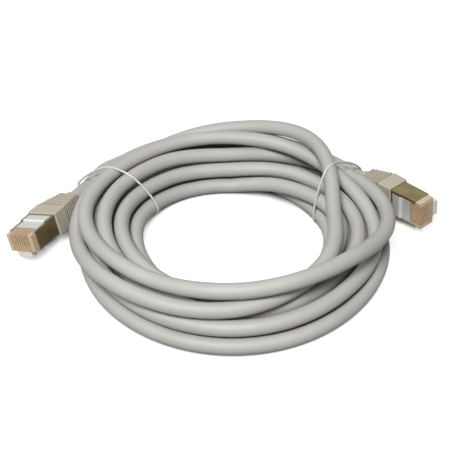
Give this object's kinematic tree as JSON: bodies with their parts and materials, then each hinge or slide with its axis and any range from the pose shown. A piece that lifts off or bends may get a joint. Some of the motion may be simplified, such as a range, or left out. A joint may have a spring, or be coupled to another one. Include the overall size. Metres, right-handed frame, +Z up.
{
  "type": "ethernet patch cable",
  "caption": "Round grey network patch cable wound in a loose layered coil, held by two thin ties, with a shielded modular plug and a ribbed boot on each end.",
  "frame": {"origin": "middle of the coil, on the surface that it lies on", "axes": "+Z up, out of the coil's opening; +X to the side of the coil with plug b, -X to plug a; +Y to the back, where the coil is joined to both leads"},
  "size_m": [0.1555, 0.1149, 0.0244],
  "materials": {
    "cable_jacket": "satin",
    "tie": "smooth",
    "clear_plastic": "smooth",
    "shield": "satin plate",
    "gold": "gold plated",
    "white_plastic": "matt",
    "wire": "matt",
    "tinned_wire": "satin plate",
    "foil": "foil",
    "boot": "satin"
  },
  "bodies": {
    "cable": {"cord_coil": "cable_jacket", "cord_lead_a": "cable_jacket", "cord_lead_b": "cable_jacket", "tie_left": "tie", "tie_right": "tie", "plug_housing_a": "clear_plastic", "shield_shell_a": "shield", "contacts_a": "gold", "load_bar_a": "white_plastic", "conductors_a": "wire", "drain_wire_a": "tinned_wire", "foil_screen_a": "foil", "jacket_end_a": "cable_jacket", "crimp_ferrule_a": "shield", "boot_a": "boot", "plug_housing_b": "clear_plastic", "shield_shell_b": "shield", "contacts_b": "gold", "load_bar_b": "white_plastic", "conductors_b": "wire", "drain_wire_b": "tinned_wire", "foil_screen_b": "foil", "jacket_end_b": "cable_jacket", "crimp_ferrule_b": "shield", "boot_b": "boot"},
    "latch_a": {"latch_a": "clear_plastic"},
    "latch_b": {"latch_b": "clear_plastic"}
  },
  "joints": [
    {"name": "latch_a_flex", "type": "hinge", "parent": "cable", "child": "latch_a", "pos_m": [-0.0725, -0.01215, 0.00595], "axis": [0.8752, -0.3986, 0.2741], "range_deg": [0, 8], "stiffness_Nm_per_rad": 0.02},
    {"name": "latch_b_flex", "type": "hinge", "parent": "cable", "child": "latch_b", "pos_m": [0.07298, 0.00572, 0.00961], "axis": [-0.1103, 0.0578, 0.9922], "range_deg": [0, 8], "stiffness_Nm_per_rad": 0.02}
  ]
}
